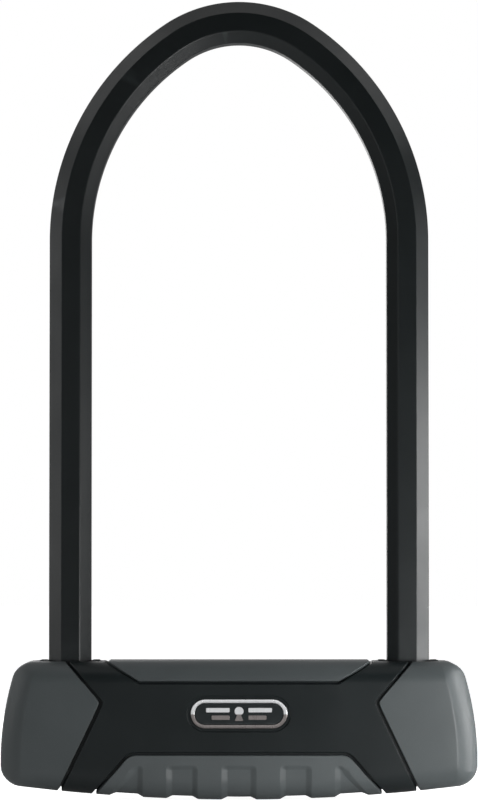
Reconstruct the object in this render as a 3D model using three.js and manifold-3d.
// A double-bolting bicycle U-lock: a coated steel shackle, bent to a pointed arch, stands in a crossbar.
// Inside the crossbar a disc-detainer cylinder turns a cam, which drives one bolt into a notch in each leg.
// Millimetres. +X runs along the crossbar, +Z up the shackle legs, and the badge faces -Y.
// The origin is the lowest point under the middle of the crossbar. The bolts are modelled drawn back.

import * as THREE from "three";
import { mergeVertices } from "three/addons/utils/BufferGeometryUtils.js";
import Module from "manifold-3d";

const wasm = await Module();
wasm.setup();

// ---------------------------------------------------------------- driving dimensions

// Crossbar skin: a long rounded box with a bowed underside and ends that lean in towards the top.
const HALF_DEPTH = 19;
const BODY_TOP = 50.3;
const TRIM_TOP = 50.6;
const UNDERSIDE_RADIUS = 666;
const END_X = 87.15;
const END_WIDEST_Z = 14.5;
const END_LEAN_RADIUS = 105;
const TOP_FILLET = 7.5;
const BOTTOM_FILLET = 8;
const END_FILLET = 8;
const TOP_CORNER = 5.5;
const BOTTOM_CORNER = 6.5;

// Skin layers, as depths below the outer surface.
const PANEL_DEPTH = 1.5;
const TUBE_DEPTH = 1.7;
const SLEEVE_DEPTH = 2.9;
const CAP_DEPTH = 2.4;
const RECESS_DEPTH = 0.8;
const GROOVE = 1.15;
const TONGUE = 4; // how far the sleeve reaches under each end cap

// Panel outlines on the front face.
const CHEVRON = { x: 50.5, z: 35.7, upperSlope: 0.875, lowerSlope: 0.483 };
const TRIM = { halfWidth: 36.4, z: 43.5, slope: 1.61 };
const GRIP = { halfWidth: 39.8, z: 16.4, slope: 0.862, corner: 5.3 };
const FINGER = { top: 12, middleHalf: 5.3, sideHalf: 4.7, pitch: 20.7, outerX: 36, outerTopX: 37.2 };

// Badge.
const BADGE = { length: 35.2, height: 10.6, rim: 1.4, z: 31.5, recess: 3.7, recessY: -18.5 };
const BADGE_DEPTHS = { rimFront: -18.9, plateFront: -18.6, back: -17.9, seat: -17.7 };

// Shackle.
const LEG_X = 62.15;
const LEG_END_Z = 14.5;
const SPRING_Z = 205.3;
const FLANK_RADIUS = 89.0;
const CROWN_RADIUS = 41.35;
const BAR_HALF = 6.5;
const BAR_CHAMFER = 3.3;
const COAT_HALF = 7.73;
const COAT_OUTER_CHAMFER = 4.68;
const COAT_INNER_CHAMFER = 4.0;
const COAT_END_Z = 47.6;

// Steel case: a rectangular tube around the mechanism.
const CASE = { halfLength: 75, halfDepth: 15.5, bottom: 7.6, top: 47, wall: 3, corner: 3.5 };
const CAVITY = { halfDepth: 12.5, bottom: CASE.bottom + CASE.wall, top: CASE.top - CASE.wall };

// Bolts and the cam that drives them: the slots are spirals, so travel is proportional to the turn.
const BOLT = { inner: 2.4, outer: 54.9, halfDepth: 5, bottom: 34.2, top: 41.2, travel: 4.5 };
const TURN = Math.PI / 2;
const CAM = { radius: 12.2, bottom: 30.0, top: 33.2, pinStart: 5.1, pinRadius: 1.5, slotHalf: 1.62 };
const CAM_SCREW = { shank: 1.15, head: 2.6, bottom: 29.2, neck: 33.3, top: 33.95 };
const NOTCH = { depth: 4.3, bottom: 33.4, top: 42.0 };

// Lock cylinder, on the Z axis.
const BARREL = { radius: 10, bore: 7.55, bottom: 4.0, top: 29.4, lipBore: 6.45, lipTop: 5.8 };
const FLANGE = { radius: 11.2, bottom: 10.7, top: 12.5 };
const SIDEBAR_GROOVE = { halfWidth: 1.3, bottom: 8.2, top: 28 };
const CORE_SLOT = { halfWidth: 1.25, bottom: 8.4, top: 27.8 };
const FACE = { noseRadius: 6.3, radius: 7.3, bottom: 4.4, step: 5.95, top: 6.5 };
const CORE = { radius: 7.4, bore: 6.1, bottom: 6.6, boreTop: 28.4, top: 29.4, tailHalf: 2.2 };
const DISC = { radius: 6.0, thickness: 2.1, pitch: 2.65, first: 10.1, count: 6 };
const KEYWAY = { halfLength: 4.2, halfWidth: 1.6 };
const SIDEBAR = { halfWidth: 1.1, inner: 5.0, outer: 7.35, bottom: 10.2, top: 25.4, travel: 1.2, ear: 6.45 };
const SHUTTER = { halfLength: 4.5, width: 1.9, bottom: 6.7, top: 8.1 };

const FIT = 0.25; // clearance between a fixed piece and its seat
const MATERIALS = {
  softGrey: new THREE.MeshStandardMaterial({ color: 0x4b4f50, roughness: 0.55, metalness: 0 }),
  satinBlack: new THREE.MeshStandardMaterial({ color: 0x1e2223, roughness: 0.42, metalness: 0 }),
  coating: new THREE.MeshStandardMaterial({ color: 0x1b1f20, roughness: 0.48, metalness: 0 }),
  chrome: new THREE.MeshStandardMaterial({ color: 0xd9dcdd, roughness: 0.12, metalness: 1 }),
  rubber: new THREE.MeshStandardMaterial({ color: 0x2b2e2f, roughness: 0.8, metalness: 0 }),
  hardSteel: new THREE.MeshStandardMaterial({ color: 0x8b9092, roughness: 0.35, metalness: 1 }),
  brass: new THREE.MeshStandardMaterial({ color: 0xb99c5a, roughness: 0.35, metalness: 1 }),
  dieCast: new THREE.MeshStandardMaterial({ color: 0xa4a8aa, roughness: 0.5, metalness: 1 }),
  guideNylon: new THREE.MeshStandardMaterial({ color: 0x34383a, roughness: 0.6, metalness: 0 }),
};

// ---------------------------------------------------------------- solids and meshes

// A closed three.js geometry as a manifold-3d solid.
function solid(geometry) {
  const bare = geometry.clone();
  bare.deleteAttribute("normal");
  bare.deleteAttribute("uv");
  const merged = mergeVertices(bare, 1e-4);
  return new wasm.Manifold(
    new wasm.Mesh({
      numProp: 3,
      vertProperties: new Float32Array(merged.attributes.position.array),
      triVerts: new Uint32Array(merged.index.array),
    }),
  );
}

// A manifold-3d solid as a three.js geometry.
function geometryOf(shape) {
  const { vertProperties, triVerts } = shape.getMesh();
  return new THREE.BufferGeometry()
    .setAttribute("position", new THREE.BufferAttribute(vertProperties, 3))
    .setIndex(new THREE.BufferAttribute(triVerts, 1));
}

function addMesh(parent, name, shape, material, position = [0, 0, 0]) {
  const mesh = new THREE.Mesh(geometryOf(shape), material);
  mesh.name = name;
  mesh.position.set(...position);
  parent.add(mesh);
  return mesh;
}

// A box between two corners.
function block([x0, y0, z0], [x1, y1, z1]) {
  const box = new THREE.BoxGeometry(x1 - x0, y1 - y0, z1 - z0);
  return solid(box.translate((x0 + x1) / 2, (y0 + y1) / 2, (z0 + z1) / 2));
}

// A turned solid about Z, from [radius, z] points listed anticlockwise with the radius across and z up.
function turned(profile, segments = 32) {
  const points = profile.map(([r, z]) => new THREE.Vector2(r, z));
  if (profile[0][0] > 0) points.push(points[0].clone());
  return solid(new THREE.LatheGeometry(points, segments).rotateX(Math.PI / 2));
}

function rod(radius, z0, z1, segments = 20) {
  const points = [
    [0, z0],
    [radius, z0],
    [radius, z1],
    [0, z1],
  ];
  return turned(points, segments);
}

// A THREE.Shape drawn in X and Y, run from z0 to z1.
function column(shape, z0, z1, curveSegments = 8) {
  const options = { depth: z1 - z0, bevelEnabled: false, curveSegments };
  return solid(new THREE.ExtrudeGeometry(shape, options).translate(0, 0, z0));
}

// A THREE.Shape drawn in X and Z, run from y0 to y1.
function plateBetween(shape, y0, y1, curveSegments = 8) {
  const options = { depth: y1 - y0, bevelEnabled: false, curveSegments };
  return solid(new THREE.ExtrudeGeometry(shape, options).rotateX(Math.PI / 2).translate(0, y1, 0));
}

function polygon(points) {
  return new THREE.Shape(points.map(([a, b]) => new THREE.Vector2(a, b)));
}

// A closed body through rings with equal numbers of points, with a fan over each end.
function loft(rings) {
  const count = rings[0].length;
  const points = rings.flat();
  const index = [];
  for (let i = 0; i + 1 < rings.length; i++) {
    for (let j = 0; j < count; j++) {
      const a = i * count + j;
      const b = i * count + ((j + 1) % count);
      index.push(a, b, a + count, b, b + count, a + count);
    }
  }
  for (const [ring, start, first] of [
    [rings[0], 0, true],
    [rings.at(-1), (rings.length - 1) * count, false],
  ]) {
    const middle = points.length;
    const sum = ring.reduce((total, p) => total.add(p), new THREE.Vector3());
    points.push(sum.divideScalar(count));
    for (let j = 0; j < count; j++) {
      const a = start + j;
      const b = start + ((j + 1) % count);
      index.push(...(first ? [middle, b, a] : [middle, a, b]));
    }
  }
  const geometry = new THREE.BufferGeometry().setFromPoints(points);
  geometry.setIndex(index);
  return solid(geometry);
}

// ---------------------------------------------------------------- crossbar skin

const endX = (z) => END_X - (z - END_WIDEST_Z) ** 2 / (2 * END_LEAN_RADIUS);
const undersideZ = (x) => x ** 2 / (2 * UNDERSIDE_RADIUS);

// How far a quarter-round corner has pulled in at a distance from the end face.
const cornerPull = (radius, reach) => radius - Math.sqrt(radius ** 2 - Math.max(radius - reach, 0) ** 2);

// The section's outline in Y and Z: two flat sides, with an arc at each corner.
function sectionLoop(halfDepth, bottom, top, bottomFillet, topFillet) {
  const arcSteps = 4;
  const corners = [
    [1, top, topFillet, 0],
    [-1, top, topFillet, 1],
    [-1, bottom, bottomFillet, 2],
    [1, bottom, bottomFillet, 3],
  ];
  return corners.flatMap(([side, z, fillet, quarter]) => {
    const centreY = side * (halfDepth - fillet);
    const centreZ = z === top ? z - fillet : z + fillet;
    return Array.from({ length: arcSteps + 1 }, (_, i) => {
      const angle = (quarter + i / arcSteps) * (Math.PI / 2);
      return [centreY + fillet * Math.cos(angle), centreZ + fillet * Math.sin(angle)];
    });
  });
}

// The crossbar's outer form, moved inwards by inset.
function skin(inset, top = BODY_TOP) {
  const endFillet = END_FILLET - inset;
  const sharpest = 0.05;
  // One ring at x, or on the end fillet at an angle, or on the end face shrunk towards its middle.
  const ring = (x, side, angle, shrink) => {
    const pull = endFillet * (1 - Math.cos(angle));
    const reach = endFillet * (1 - Math.sin(angle));
    const loop = sectionLoop(
      HALF_DEPTH - inset - pull,
      undersideZ(x) + inset + cornerPull(BOTTOM_CORNER - inset, reach),
      top - inset - cornerPull(TOP_CORNER - inset, reach),
      Math.max(BOTTOM_FILLET - inset - pull, sharpest),
      Math.max(TOP_FILLET - inset - pull, sharpest),
    );
    const middleZ = (undersideZ(x) + top) / 2;
    return loop.map(([y, z]) => {
      const ringZ = middleZ + (z - middleZ) * shrink;
      const leaning = endX(ringZ) - inset - endFillet * (1 - Math.sin(angle));
      return new THREE.Vector3(side ? side * leaning : x, y * shrink, ringZ);
    });
  };
  const angles = [0, 0.25, 0.5, 0.75, 1].map((share) => share * (Math.PI / 2));
  const filletX = (angle) => END_X - END_FILLET + END_FILLET * Math.sin(angle);
  const end = (side) => [
    ...angles.map((angle) => ring(side * filletX(angle), side, angle, 1)),
    ring(side * END_X, side, Math.PI / 2, 0.6),
    ring(side * END_X, side, Math.PI / 2, 0.25),
  ];
  const straight = [-70, -56, -42, -28, -14, 0, 14, 28, 42, 56, 70].map((x) => ring(x, 0, 0, 1));
  return loft([...end(-1).reverse(), ...straight, ...end(1)]);
}

const BELOW = -10;
const ABOVE = 60;
const BEYOND = 100;
const chevronX = (z, shift) => {
  const rise = z - CHEVRON.z;
  return CHEVRON.x + shift + (rise > 0 ? CHEVRON.upperSlope * rise : -CHEVRON.lowerSlope * rise);
};

// Everything beyond a chevron seam on one side, with the seam moved outwards by shift.
function capRegion(side, shift) {
  const outline = [
    [chevronX(BELOW, shift), BELOW],
    [BEYOND, BELOW],
    [BEYOND, ABOVE],
    [chevronX(ABOVE, shift), ABOVE],
    [chevronX(CHEVRON.z, shift), CHEVRON.z],
  ];
  return plateBetween(polygon(outline.map(([x, z]) => [side * x, z])), -BEYOND, BEYOND);
}

// Everything between the two chevron seams.
function middleRegion(shift) {
  const right = [BELOW, CHEVRON.z, ABOVE].map((z) => [chevronX(z, shift), z]);
  const left = right.map(([x, z]) => [-x, z]).reverse();
  return plateBetween(polygon([...right, ...left]), -BEYOND, BEYOND);
}

// The trim panel's trapezoid, grown on all sides.
function trimRegion(grow) {
  const bottom = TRIM.z - grow;
  const half = (z) => TRIM.halfWidth + TRIM.slope * (z - TRIM.z) + grow * TRIM.slope;
  return plateBetween(
    polygon([
      [-half(bottom), bottom],
      [half(bottom), bottom],
      [half(ABOVE), ABOVE],
      [-half(ABOVE), ABOVE],
    ]),
    -BEYOND,
    BEYOND,
  );
}

// The grip panel's trapezoid with rounded upper corners, grown on all sides.
function gripRegion(grow) {
  const top = GRIP.z + grow;
  const half = GRIP.halfWidth + grow * 0.5;
  const foot = half + GRIP.slope * (top - BELOW);
  const turn = Math.atan2(1, GRIP.slope);
  const tangent = GRIP.corner * Math.tan(turn / 2);
  const along = [Math.cos(turn) * tangent, Math.sin(turn) * tangent];
  const shape = new THREE.Shape();
  shape.moveTo(-foot, BELOW);
  shape.lineTo(foot, BELOW);
  shape.lineTo(half + along[0], top - along[1]);
  shape.quadraticCurveTo(half, top, half - tangent, top);
  shape.lineTo(-half + tangent, top);
  shape.quadraticCurveTo(-half, top, -half - along[0], top - along[1]);
  return plateBetween(shape, -BEYOND, BEYOND, 5);
}

// The finger recesses of the grip panel: three straight ones and a slanted one at each end.
function fingerRegion() {
  const straight = [
    [-FINGER.pitch, FINGER.sideHalf],
    [0, FINGER.middleHalf],
    [FINGER.pitch, FINGER.sideHalf],
  ].map(([x, half]) => block([x - half, -BEYOND, BELOW], [x + half, BEYOND, FINGER.top]));
  const slanted = [-1, 1].map((side) =>
    plateBetween(
      polygon([
        [side * FINGER.outerX, BELOW],
        [side * (FINGER.outerTopX + GRIP.slope * (FINGER.top - BELOW)), BELOW],
        [side * FINGER.outerTopX, FINGER.top],
        [side * FINGER.outerX, FINGER.top],
      ]),
      -BEYOND,
      BEYOND,
    ),
  );
  return wasm.Manifold.union([...straight, ...slanted]);
}

// An eight-sided outline centred on x, with half sizes and one chamfer for all corners.
function octagon(x, halfX, halfY, chamfer) {
  const quarter = [
    [halfX, halfY - chamfer],
    [halfX - chamfer, halfY],
  ];
  const points = [
    ...quarter,
    ...quarter.map(([a, b]) => [-a, b]).reverse(),
    ...quarter.map(([a, b]) => [-a, -b]),
    ...quarter.map(([a, b]) => [a, -b]).reverse(),
  ];
  return polygon(points.map(([a, b]) => [a + x, b]));
}

function stadium(length, height, z) {
  const radius = height / 2;
  const reach = length / 2 - radius;
  const shape = new THREE.Shape();
  shape.absarc(reach, z, radius, -Math.PI / 2, Math.PI / 2, false);
  shape.absarc(-reach, z, radius, Math.PI / 2, (3 * Math.PI) / 2, false);
  return shape;
}

const SEAL = { halfX: 11.2, halfY: 9.5, chamfer: 4, bottom: 47.4, top: 49.9 };
const LIP = { inner: 8.8, halfY: 5.5, top: 50.8 };
const ROSETTE = { radius: 9.3, bore: 5.6, bottom: 0.9, top: 3.8, flange: 10.2, flangeBottom: 3.1 };

const outerSkin = skin(0);
const sealHoles = wasm.Manifold.union(
  [-1, 1].map((side) =>
    column(octagon(side * LEG_X, SEAL.halfX + FIT, SEAL.halfY + FIT, SEAL.chamfer), 40, ABOVE),
  ),
);
const rosetteHole = rod(ROSETTE.radius + FIT, BELOW, 4, 32);

// The black sleeve: a full tube under the panels, raised to the surface between them.
function centreSleeve() {
  const underPanels = skin(TUBE_DEPTH).intersect(middleRegion(TONGUE));
  const raised = outerSkin
    .intersect(middleRegion(-GROOVE))
    .subtract(trimRegion(GROOVE))
    .subtract(gripRegion(GROOVE));
  const { length, height, z, recess, recessY } = BADGE;
  const badgeRecess = plateBetween(stadium(length + recess, height + recess, z), -BEYOND, recessY);
  const badgeSeat = plateBetween(stadium(length + 0.5, height + 0.5, z), -BEYOND, BADGE_DEPTHS.seat);
  return underPanels
    .add(raised)
    .subtract(skin(SLEEVE_DEPTH))
    .subtract(sealHoles)
    .subtract(rosetteHole)
    .subtract(badgeRecess)
    .subtract(badgeSeat);
}

// A grey end cap, stepped inside to clear the sleeve's tongue.
function endCap(side) {
  const tongue = skin(PANEL_DEPTH).intersect(middleRegion(TONGUE + FIT));
  return outerSkin
    .subtract(skin(CAP_DEPTH))
    .intersect(capRegion(side, 0))
    .subtract(tongue)
    .subtract(sealHoles);
}

function trimPanel() {
  return skin(0, TRIM_TOP).intersect(trimRegion(0)).subtract(skin(PANEL_DEPTH));
}

function gripPanel() {
  const recesses = fingerRegion().subtract(skin(RECESS_DEPTH));
  return outerSkin
    .intersect(gripRegion(0))
    .subtract(skin(PANEL_DEPTH))
    .subtract(recesses)
    .subtract(rosetteHole);
}

// A rubber seal around a leg, with a raised lip on the two sides that face along the crossbar.
function shackleSeal() {
  const ring = column(octagon(0, SEAL.halfX, SEAL.halfY, SEAL.chamfer), SEAL.bottom, SEAL.top);
  const lips = [-1, 1].map((side) => {
    const [a, b] = [side * LIP.inner, side * SEAL.halfX].sort((p, q) => p - q);
    return block([a, -LIP.halfY, SEAL.top - 1], [b, LIP.halfY, LIP.top]);
  });
  const opening = COAT_HALF + FIT;
  const hole = column(octagon(0, opening, opening, COAT_INNER_CHAMFER), 40, ABOVE);
  return ring.add(lips[0]).add(lips[1]).subtract(hole);
}

function rosette() {
  const { radius, bore, bottom, top, flange, flangeBottom } = ROSETTE;
  return turned([
    [bore, top],
    [bore, bottom + 1],
    [bore + 1.2, bottom],
    [radius, bottom],
    [radius, flangeBottom],
    [flange, flangeBottom],
    [flange, top],
  ]);
}

function badgeBezel() {
  const { length, height, rim, z } = BADGE;
  const shape = stadium(length, height, z);
  shape.holes.push(stadium(length - 2 * rim, height - 2 * rim, z));
  return plateBetween(shape, BADGE_DEPTHS.rimFront, BADGE_DEPTHS.back);
}

function badgePlate() {
  const { length, height, rim, z } = BADGE;
  const play = 0.3;
  const outline = stadium(length - 2 * rim - play, height - 2 * rim - play, z);
  return plateBetween(outline, BADGE_DEPTHS.plateFront, BADGE_DEPTHS.back);
}

// ---------------------------------------------------------------- shackle

// Stations along the shackle's centre line, each with the angle of its outward direction.
function bowStations() {
  const flankTurn = Math.acos((FLANK_RADIUS - LEG_X) / (FLANK_RADIUS - CROWN_RADIUS));
  const crownZ = SPRING_Z + (FLANK_RADIUS - CROWN_RADIUS) * Math.sin(flankTurn);
  const flankSteps = 11;
  const crownSteps = 8;
  const half = [];
  for (let i = 0; i <= flankSteps; i++) {
    const angle = (flankTurn * i) / flankSteps;
    const x = LEG_X - FLANK_RADIUS + FLANK_RADIUS * Math.cos(angle);
    half.push({ x, z: SPRING_Z + FLANK_RADIUS * Math.sin(angle), angle });
  }
  for (let i = 1; i <= crownSteps; i++) {
    const angle = flankTurn + ((Math.PI / 2 - flankTurn) * i) / crownSteps;
    half.push({ x: CROWN_RADIUS * Math.cos(angle), z: crownZ + CROWN_RADIUS * Math.sin(angle), angle });
  }
  const mirrored = half
    .slice(0, -1)
    .reverse()
    .map(({ x, z, angle }) => ({ x: -x, z, angle: Math.PI - angle }));
  return [...half, ...mirrored];
}

// A bar along the bow, from [outward, depth] points. The legs end at endZ, with a chamfer of tip.
function bow(section, endZ, tip = 0) {
  const place = ({ x, z, angle, scale = 1 }) =>
    section.map(([out, depth]) => {
      const reach = out * scale;
      return new THREE.Vector3(x + reach * Math.cos(angle), depth * scale, z + reach * Math.sin(angle));
    });
  const foot = tip > 0 ? [{ z: endZ, scale: 0.8 }, { z: endZ + tip }] : [{ z: endZ }];
  const rightFoot = foot.map((end) => ({ x: LEG_X, angle: 0, ...end }));
  const leftFoot = foot.map((end) => ({ x: -LEG_X, angle: Math.PI, ...end })).reverse();
  return loft([...rightFoot, ...bowStations(), ...leftFoot].map(place));
}

// A chamfered square section. Its outer corners and its inner ones, inside the bow, have their own chamfers.
function barSection(half, outerChamfer, innerChamfer) {
  return [
    [half, -half + outerChamfer],
    [half, half - outerChamfer],
    [half - outerChamfer, half],
    [-half + innerChamfer, half],
    [-half, half - innerChamfer],
    [-half, -half + innerChamfer],
    [-half + innerChamfer, -half],
    [half - outerChamfer, -half],
  ];
}

function shackleBar() {
  const notches = [-1, 1].map((side) => {
    const face = LEG_X - BAR_HALF;
    const [a, b] = [side * (face - 1), side * (face + NOTCH.depth)].sort((p, q) => p - q);
    return block([a, -10, NOTCH.bottom], [b, 10, NOTCH.top]);
  });
  const bar = bow(barSection(BAR_HALF, BAR_CHAMFER, BAR_CHAMFER), LEG_END_Z, 1.5);
  return bar.subtract(notches[0]).subtract(notches[1]);
}

function shackleCoating() {
  const gap = 0.1;
  const outer = bow(barSection(COAT_HALF, COAT_OUTER_CHAMFER, COAT_INNER_CHAMFER), COAT_END_Z);
  const inner = bow(barSection(BAR_HALF + gap, BAR_CHAMFER, BAR_CHAMFER), COAT_END_Z - 5);
  return outer.subtract(inner);
}

// ---------------------------------------------------------------- case and mechanism

function roundedRect(halfWidth, bottom, top, radius) {
  const shape = new THREE.Shape();
  shape.absarc(halfWidth - radius, bottom + radius, radius, -Math.PI / 2, 0, false);
  shape.absarc(halfWidth - radius, top - radius, radius, 0, Math.PI / 2, false);
  shape.absarc(-halfWidth + radius, top - radius, radius, Math.PI / 2, Math.PI, false);
  shape.absarc(-halfWidth + radius, bottom + radius, radius, Math.PI, (3 * Math.PI) / 2, false);
  return shape;
}

// A pin along Y through a point.
function crossPin(radius, x, halfLength, z) {
  const pin = new THREE.CylinderGeometry(radius, radius, 2 * halfLength, 12);
  return solid(pin.translate(x, 0, z));
}

const END_PLATE = { inner: 70.5, outer: 74.8, pinX: 72.7, pinZ: 26.8, pinRadius: 1.2 };

function caseTube() {
  const options = { depth: 2 * CASE.halfLength, bevelEnabled: false, curveSegments: 4 };
  const along = (shape) =>
    solid(
      new THREE.ExtrudeGeometry(shape, options)
        .translate(0, 0, -CASE.halfLength)
        .rotateX(Math.PI / 2)
        .rotateZ(Math.PI / 2),
    );
  const outside = along(roundedRect(CASE.halfDepth, CASE.bottom, CASE.top, CASE.corner));
  const hollow = block(
    [-BEYOND, -CAVITY.halfDepth, CAVITY.bottom],
    [BEYOND, CAVITY.halfDepth, CAVITY.top],
  );
  const legHole = BAR_HALF + 0.5;
  const legHoles = [-1, 1].map((side) =>
    column(octagon(side * LEG_X, legHole, legHole, BAR_CHAMFER), 40, ABOVE),
  );
  const pinHoles = [-1, 1].map((side) =>
    crossPin(END_PLATE.pinRadius + 0.1, side * END_PLATE.pinX, 20, END_PLATE.pinZ),
  );
  const barrelHole = rod(BARREL.radius + FIT, 0, 20, 32);
  return wasm.Manifold.difference([outside, hollow, barrelHole, ...legHoles, ...pinHoles]);
}

const MECHANISM = { halfLength: 36, halfDepth: 12.3, bottom: 10.8, split: 33.9, top: 43.8, camRoomX: 13.2 };
const SCREW = { x: 30, y: 8.8, shank: 1.4, head: 2.5, headHeight: 1.7, bottom: 22, top: 43.7 };
const screwPlaces = [
  [-SCREW.x, -SCREW.y],
  [SCREW.x, -SCREW.y],
  [-SCREW.x, SCREW.y],
  [SCREW.x, SCREW.y],
];

function guideScrew(grow = 0) {
  const neck = SCREW.top - SCREW.headHeight - grow;
  return turned(
    [
      [0, SCREW.bottom - grow],
      [SCREW.shank + grow, SCREW.bottom - grow],
      [SCREW.shank + grow, neck],
      [SCREW.head + grow, neck],
      [SCREW.head + grow, SCREW.top + grow],
      [0, SCREW.top + grow],
    ],
    12,
  );
}

const screwHoles = screwPlaces.map(([x, y]) => guideScrew(0.12).translate([x, y, 0]));

// Four pockets that lighten the die-cast block from below.
const POCKET = { x: 22, y: 6.3, halfX: 7, halfY: 4.2, top: 23.8 };

// The die-cast block that holds the barrel and carries the bolts on its top face.
function mechanismHousing() {
  const { halfLength, halfDepth, bottom, split, camRoomX } = MECHANISM;
  const body = block([-halfLength, -halfDepth, bottom], [halfLength, halfDepth, split - 0.1]);
  const camRoom = block([-camRoomX, -BEYOND, BARREL.top + 0.3], [camRoomX, BEYOND, ABOVE]);
  const bore = rod(BARREL.radius + 0.2, BELOW, ABOVE, 32);
  const flangeSeat = rod(FLANGE.radius + 0.2, BELOW, FLANGE.top + 0.3, 32);
  const pockets = [-1, 1].flatMap((sideX) =>
    [-1, 1].map((sideY) =>
      block([-POCKET.halfX, -POCKET.halfY, BELOW], [POCKET.halfX, POCKET.halfY, POCKET.top])
        .translate([sideX * POCKET.x, sideY * POCKET.y, 0]),
    ),
  );
  return wasm.Manifold.difference([body, camRoom, bore, flangeSeat, ...pockets, ...screwHoles]);
}

// The channel that keeps both bolts in line.
function boltGuide() {
  const { halfLength, halfDepth, split, top } = MECHANISM;
  const body = block([-halfLength, -halfDepth, split + 0.1], [halfLength, halfDepth, top]);
  const channel = block(
    [-BEYOND, -BOLT.halfDepth - FIT, 0],
    [BEYOND, BOLT.halfDepth + FIT, BOLT.top + FIT],
  );
  return wasm.Manifold.difference([body, channel, ...screwHoles]);
}

const SOCKET = { inner: 50, outer: 70.2, stop: 13.5, windowInner: 49, windowOuter: 58, play: 0.4 };

// A nylon block that steers a leg down to its stop, with a window for the bolt.
function legSocket(side) {
  const towards = (a, b) => [side * a, side * b].sort((p, q) => p - q);
  const [x0, x1] = towards(SOCKET.inner, SOCKET.outer);
  const [w0, w1] = towards(SOCKET.windowInner, SOCKET.windowOuter);
  const { halfDepth, bottom, top } = MECHANISM;
  const body = block([x0, -halfDepth, bottom], [x1, halfDepth, top]);
  const opening = BAR_HALF + FIT;
  const hole = column(octagon(side * LEG_X, opening, opening, BAR_CHAMFER), SOCKET.stop, ABOVE);
  const halfWindow = BOLT.halfDepth + FIT;
  const windowTop = BOLT.top + SOCKET.play;
  const window = block([w0, -halfWindow, BOLT.bottom - SOCKET.play], [w1, halfWindow, windowTop]);
  return body.subtract(hole).subtract(window);
}

function endPlate(side) {
  const [x0, x1] = [side * END_PLATE.inner, side * END_PLATE.outer].sort((p, q) => p - q);
  const { halfDepth, bottom, top } = MECHANISM;
  const plate = block([x0, -halfDepth, bottom], [x1, halfDepth, top]);
  return plate.subtract(crossPin(END_PLATE.pinRadius + 0.1, side * END_PLATE.pinX, 20, END_PLATE.pinZ));
}

// A bolt with a chamfered nose. Its follower pin is pressed into the tail.
function lockBolt(side) {
  const nose = 1.2;
  const outline = [
    [BOLT.inner, BOLT.bottom],
    [BOLT.outer - nose, BOLT.bottom],
    [BOLT.outer, BOLT.bottom + nose],
    [BOLT.outer, BOLT.top - nose],
    [BOLT.outer - nose, BOLT.top],
    [BOLT.inner, BOLT.top],
  ];
  const bar = plateBetween(polygon(outline.map(([x, z]) => [side * x, z])), -BOLT.halfDepth, BOLT.halfDepth);
  const seat = rod(CAM.pinRadius + 0.1, BOLT.bottom - 1, BOLT.bottom + 4.2);
  return bar.subtract(seat.translate([side * CAM.pinStart, 0, 0]));
}

// The spiral slot a follower pin runs in: its radius grows in proportion to the turn.
function spiralSlot(offset) {
  const steps = 9;
  const rate = BOLT.travel / TURN;
  const at = (turn) => {
    const radius = CAM.pinStart + rate * turn;
    const angle = offset - turn;
    const radial = new THREE.Vector2(Math.cos(angle), Math.sin(angle));
    const around = new THREE.Vector2(Math.sin(angle), -Math.cos(angle));
    const along = radial.clone().multiplyScalar(rate).addScaledVector(around, radius).normalize();
    const outward = new THREE.Vector2(-along.y, along.x);
    return { point: radial.multiplyScalar(radius), along, outward };
  };
  const edge = (turn, side) => {
    const { point, outward } = at(turn);
    return point.clone().addScaledVector(outward, side * CAM.slotHalf);
  };
  const roundEnd = (turn, direction) => {
    const { point, along, outward } = at(turn);
    return [1, 2, 3, 4].map((i) => {
      const swing = (i * Math.PI) / 5;
      return point
        .clone()
        .addScaledVector(outward, direction * Math.cos(swing) * CAM.slotHalf)
        .addScaledVector(along, direction * Math.sin(swing) * CAM.slotHalf);
    });
  };
  const turns = Array.from({ length: steps + 1 }, (_, i) => (TURN * i) / steps);
  const outline = [
    ...turns.map((turn) => edge(turn, 1)),
    ...roundEnd(TURN, 1),
    ...[...turns].reverse().map((turn) => edge(turn, -1)),
    ...roundEnd(0, -1),
  ];
  return column(new THREE.Shape(outline), CAM.bottom - 1, CAM.top + 1);
}

function boltCam() {
  const square = CORE.tailHalf + 0.12;
  return rod(CAM.radius, CAM.bottom, CAM.top, 40)
    .subtract(block([-square, -square, 0], [square, square, ABOVE]))
    .subtract(spiralSlot(0))
    .subtract(spiralSlot(Math.PI));
}

// ---------------------------------------------------------------- lock cylinder

const keywayCut = block(
  [-KEYWAY.halfLength, -KEYWAY.halfWidth, -BEYOND],
  [KEYWAY.halfLength, KEYWAY.halfWidth, BEYOND],
);
const sidebarCut = block([-1.3, SIDEBAR.inner - 0.1, -BEYOND], [1.3, 20, BEYOND]);

function cylinderBarrel() {
  const { radius, bore, bottom, top, lipBore, lipTop } = BARREL;
  const body = turned([
    [lipBore, bottom],
    [radius, bottom],
    [radius, FLANGE.bottom],
    [FLANGE.radius, FLANGE.bottom],
    [FLANGE.radius, FLANGE.top],
    [radius, FLANGE.top],
    [radius, top],
    [bore, top],
    [bore, lipTop],
    [lipBore, lipTop],
  ]);
  const reach = SIDEBAR.outer + SIDEBAR.travel + 0.2;
  const groove = SIDEBAR_GROOVE;
  const unlocked = block([-groove.halfWidth, 0, groove.bottom], [groove.halfWidth, reach, groove.top]);
  const locked = block([-reach, -groove.halfWidth, groove.bottom], [0, groove.halfWidth, groove.top]);
  return body.subtract(unlocked).subtract(locked);
}

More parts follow.
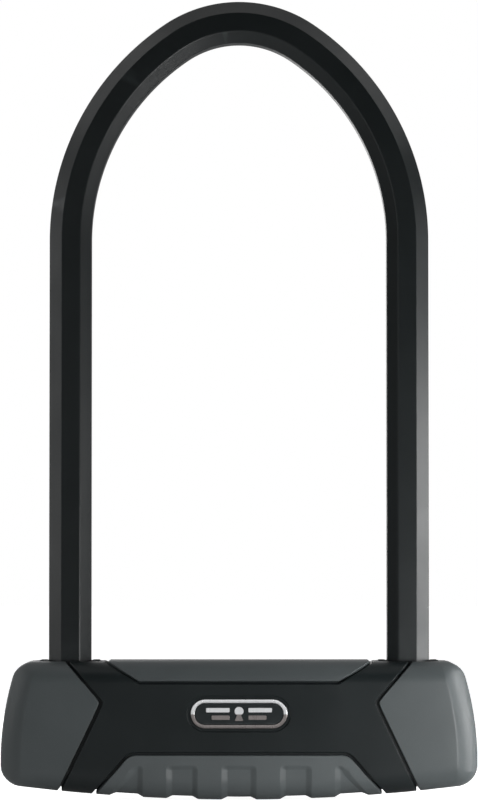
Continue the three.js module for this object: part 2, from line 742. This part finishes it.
function cylinderCore() {
  const { radius, bore, bottom, boreTop, top, tailHalf } = CORE;
  const tube = turned([
    [bore, bottom],
    [radius, bottom],
    [radius, top],
    [0, top],
    [0, boreTop],
    [bore, boreTop],
  ]);
  const tail = block([-tailHalf, -tailHalf, top - 0.5], [tailHalf, tailHalf, CAM.top]);
  const { halfWidth } = CORE_SLOT;
  const slotEnd = [halfWidth, BEYOND, CORE_SLOT.top];
  const sidebarSlot = block([-halfWidth, SIDEBAR.inner, CORE_SLOT.bottom], slotEnd);
  const screwHole = rod(CAM_SCREW.shank + 0.15, boreTop + 0.4, ABOVE, 16);
  return tube.add(tail).subtract(sidebarSlot).subtract(screwHole);
}

function cylinderFace() {
  return turned([
    [0, FACE.bottom],
    [FACE.noseRadius, FACE.bottom],
    [FACE.noseRadius, FACE.step],
    [FACE.radius, FACE.step],
    [FACE.radius, FACE.top],
    [0, FACE.top],
  ]).subtract(keywayCut);
}

// A flat disc of the stack at z = 0, notched for the sidebar, with a keyway turned by codeAngle degrees.
function stackDisc(thickness, codeAngle) {
  const disc = rod(DISC.radius, 0, thickness, 24);
  return disc.subtract(keywayCut.rotate([0, 0, codeAngle])).subtract(sidebarCut);
}

function spacerRing(thickness) {
  return rod(DISC.radius, 0, thickness, 24).subtract(rod(4.4, -1, thickness + 1, 20)).subtract(sidebarCut);
}

function sidebar() {
  const { halfWidth, inner, outer, bottom, top, ear } = SIDEBAR;
  const bar = block([-halfWidth, inner, bottom], [halfWidth, outer, top]);
  const ears = block([-halfWidth, ear, 8.6], [halfWidth, outer, 27.6]);
  return bar.add(ears);
}

function shutter(side) {
  const [y0, y1] = [side * 0.05, side * SHUTTER.width].sort((p, q) => p - q);
  return block([-SHUTTER.halfLength, y0, SHUTTER.bottom], [SHUTTER.halfLength, y1, SHUTTER.top]);
}

function camScrew() {
  const { shank, head, bottom, neck, top } = CAM_SCREW;
  const profile = [
    [0, bottom],
    [shank, bottom],
    [shank, neck],
    [head, neck],
    [head, top],
    [0, top],
  ];
  return turned(profile, 20);
}

// A compression spring along +Y, from y = 0.
class Helix extends THREE.Curve {
  constructor(radius, length, turns) {
    super();
    Object.assign(this, { radius, length, turns });
  }
  getPoint(t, target = new THREE.Vector3()) {
    const angle = 2 * Math.PI * this.turns * t;
    return target.set(this.radius * Math.cos(angle), this.length * t, this.radius * Math.sin(angle));
  }
}

function coilSpring(radius, length, turns, wire) {
  const section = polygon([
    [wire, 0],
    [0, wire],
    [-wire, 0],
    [0, -wire],
  ]);
  const path = new Helix(radius, length, turns);
  const options = { steps: turns * 7, extrudePath: path, bevelEnabled: false };
  return solid(new THREE.ExtrudeGeometry(section, options));
}

// ---------------------------------------------------------------- assembly

const { softGrey, satinBlack, coating, chrome, rubber, hardSteel, brass, dieCast, guideNylon } = MATERIALS;
const SIDES = [
  ["left", -1],
  ["right", 1],
];

const crossbar = new THREE.Group();
addMesh(crossbar, "centre_sleeve", centreSleeve(), satinBlack);
addMesh(crossbar, "top_trim_panel", trimPanel(), softGrey);
addMesh(crossbar, "finger_grip_panel", gripPanel(), softGrey);
addMesh(crossbar, "badge_bezel", badgeBezel(), chrome);
addMesh(crossbar, "badge_plate", badgePlate(), satinBlack);
addMesh(crossbar, "keyhole_rosette", rosette(), satinBlack);
addMesh(crossbar, "case_tube", caseTube(), hardSteel);
addMesh(crossbar, "mechanism_housing", mechanismHousing(), dieCast);
addMesh(crossbar, "bolt_guide", boltGuide(), dieCast);
addMesh(crossbar, "cylinder_barrel", cylinderBarrel(), brass);
for (const [name, side] of SIDES) {
  addMesh(crossbar, `${name}_end_cap`, endCap(side), softGrey);
  addMesh(crossbar, `${name}_shackle_seal`, shackleSeal(), rubber, [side * LEG_X, 0, 0]);
  addMesh(crossbar, `${name}_leg_socket`, legSocket(side), guideNylon);
  addMesh(crossbar, `${name}_end_plate`, endPlate(side), hardSteel);
  const pin = crossPin(END_PLATE.pinRadius, side * END_PLATE.pinX, CASE.halfDepth - 0.2, END_PLATE.pinZ);
  addMesh(crossbar, `${name}_end_pin`, pin, hardSteel);
}
screwPlaces.forEach(([x, y], i) => {
  addMesh(crossbar, `guide_screw_${i + 1}`, guideScrew(), hardSteel, [x, y, 0]);
});

const shackle = new THREE.Group();
addMesh(shackle, "shackle_bar", shackleBar(), hardSteel);
addMesh(shackle, "shackle_coating", shackleCoating(), coating);

const rotor = new THREE.Group();
addMesh(rotor, "cylinder_core", cylinderCore(), brass);
addMesh(rotor, "cylinder_face", cylinderFace(), hardSteel);
addMesh(rotor, "drill_guard_disc", stackDisc(1.8, 0), hardSteel, [0, 0, 8.2]);
const codeAngles = [0, 54, 18, 72, 36, 90];
codeAngles.forEach((angle, i) => {
  const z = DISC.first + i * DISC.pitch;
  addMesh(rotor, `detainer_disc_${i + 1}`, stackDisc(DISC.thickness, angle), brass, [0, 0, z]);
  if (i + 1 < DISC.count) {
    addMesh(rotor, `spacer_ring_${i + 1}`, spacerRing(0.35), hardSteel, [0, 0, z + DISC.thickness + 0.1]);
  }
});
addMesh(rotor, "rear_spacer", spacerRing(2.6), brass, [0, 0, 25.6]);
addMesh(rotor, "bolt_cam", boltCam(), hardSteel);
addMesh(rotor, "cam_screw", camScrew(), hardSteel);
const sidebarSpring = coilSpring(0.5, 1.1, 3, 0.12);
addMesh(rotor, "sidebar_spring_lower", sidebarSpring, hardSteel, [0, SIDEBAR.inner + 0.12, 9.4]);
addMesh(rotor, "sidebar_spring_upper", sidebarSpring, hardSteel, [0, SIDEBAR.inner + 0.12, 26.8]);
const shutterSpring = coilSpring(0.45, 3.4, 5, 0.12);
const shutterMiddle = (SHUTTER.bottom + SHUTTER.top) / 2;
const springY = SHUTTER.width + 0.25;
addMesh(rotor, "shutter_spring_rear", shutterSpring, hardSteel, [0, springY, shutterMiddle]);
const frontPlace = [0, -springY, shutterMiddle];
const frontSpring = addMesh(rotor, "shutter_spring_front", shutterSpring, hardSteel, frontPlace);
frontSpring.rotation.z = Math.PI;

const lockingPieces = new THREE.Group();
addMesh(lockingPieces, "sidebar", sidebar(), brass);
addMesh(lockingPieces, "front_shutter", shutter(-1), hardSteel);
addMesh(lockingPieces, "rear_shutter", shutter(1), hardSteel);
for (const [name, side] of SIDES) {
  addMesh(lockingPieces, `${name}_bolt`, lockBolt(side), hardSteel);
  const pin = rod(CAM.pinRadius, CAM.bottom + 0.4, BOLT.bottom + 4, 20);
  addMesh(lockingPieces, `${name}_bolt_pin`, pin, hardSteel, [side * CAM.pinStart, 0, 0]);
}

const lock = new THREE.Group();
lock.add(crossbar, shackle, rotor, lockingPieces);

export default lock;
